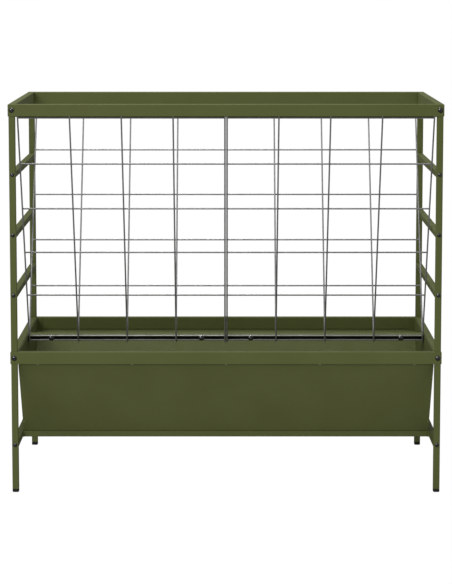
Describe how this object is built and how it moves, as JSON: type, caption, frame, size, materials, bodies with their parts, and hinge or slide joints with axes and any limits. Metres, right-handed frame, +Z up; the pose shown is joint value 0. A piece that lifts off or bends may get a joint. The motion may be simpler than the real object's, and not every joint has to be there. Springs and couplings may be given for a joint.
{
  "type": "hay rack feeder",
  "caption": "Free-standing hay rack feeder: welded wire panels form a V-shaped rack above a folded sheet trough, in a bolted frame of square steel tube with folded rails.",
  "frame": {"origin": "on the floor, under the middle of the feeder's frame", "axes": "+X along the long side, to the right as seen from the front; +Y from the front to the rear; +Z up"},
  "size_m": [1.003, 0.6102, 0.9075],
  "materials": {
    "olive_powder_coat": "satin olive green powder coat with a fine texture on steel tube and sheet",
    "galvanised_wire": "galvanised welded wire, dull grey",
    "black_bolt": "glossy black plated button-head bolt",
    "black_plastic": "moulded black plastic foot cap"
  },
  "bodies": {
    "root": {"leg_front_left": "olive_powder_coat", "leg_front_right": "olive_powder_coat", "leg_rear_left": "olive_powder_coat", "leg_rear_right": "olive_powder_coat", "foot_front_left": "black_plastic", "foot_front_right": "black_plastic", "foot_rear_left": "black_plastic", "foot_rear_right": "black_plastic", "top_rail_front": "olive_powder_coat", "top_rail_rear": "olive_powder_coat", "top_rail_left": "olive_powder_coat", "top_rail_right": "olive_powder_coat", "trough_rim_front": "olive_powder_coat", "trough_rim_rear": "olive_powder_coat", "trough_rim_left": "olive_powder_coat", "trough_rim_right": "olive_powder_coat", "side_bar_left_upper": "olive_powder_coat", "side_bar_left_middle": "olive_powder_coat", "side_bar_left_lower": "olive_powder_coat", "low_bar_left": "olive_powder_coat", "side_bar_right_upper": "olive_powder_coat", "side_bar_right_middle": "olive_powder_coat", "side_bar_right_lower": "olive_powder_coat", "low_bar_right": "olive_powder_coat", "cross_tube_front": "olive_powder_coat", "cross_tube_rear": "olive_powder_coat", "trough_pan": "olive_powder_coat", "trough_end_left": "olive_powder_coat", "trough_end_right": "olive_powder_coat", "centre_channel": "olive_powder_coat", "mesh_panel_front_left": "galvanised_wire", "mesh_panel_front_right": "galvanised_wire", "mesh_panel_rear_left": "galvanised_wire", "mesh_panel_rear_right": "galvanised_wire", "clamp_bolt_1": "black_bolt", "clamp_bolt_2": "black_bolt", "clamp_bolt_3": "black_bolt", "clamp_bolt_4": "black_bolt", "rail_bolt_front_left": "black_bolt", "rim_bolt_front_left": "black_bolt", "side_bar_bolt_front_left_upper": "black_bolt", "side_bar_bolt_front_left_middle": "black_bolt", "side_bar_bolt_front_left_lower": "black_bolt", "low_bar_bolt_front_left": "black_bolt", "rail_bolt_front_right": "black_bolt", "rim_bolt_front_right": "black_bolt", "side_bar_bolt_front_right_upper": "black_bolt", "side_bar_bolt_front_right_middle": "black_bolt", "side_bar_bolt_front_right_lower": "black_bolt", "low_bar_bolt_front_right": "black_bolt", "rail_bolt_rear_left": "black_bolt", "rim_bolt_rear_left": "black_bolt", "side_bar_bolt_rear_left_upper": "black_bolt", "side_bar_bolt_rear_left_middle": "black_bolt", "side_bar_bolt_rear_left_lower": "black_bolt", "rail_bolt_rear_right": "black_bolt", "rim_bolt_rear_right": "black_bolt", "side_bar_bolt_rear_right_upper": "black_bolt", "side_bar_bolt_rear_right_middle": "black_bolt", "side_bar_bolt_rear_right_lower": "black_bolt"}
  },
  "joints": []
}
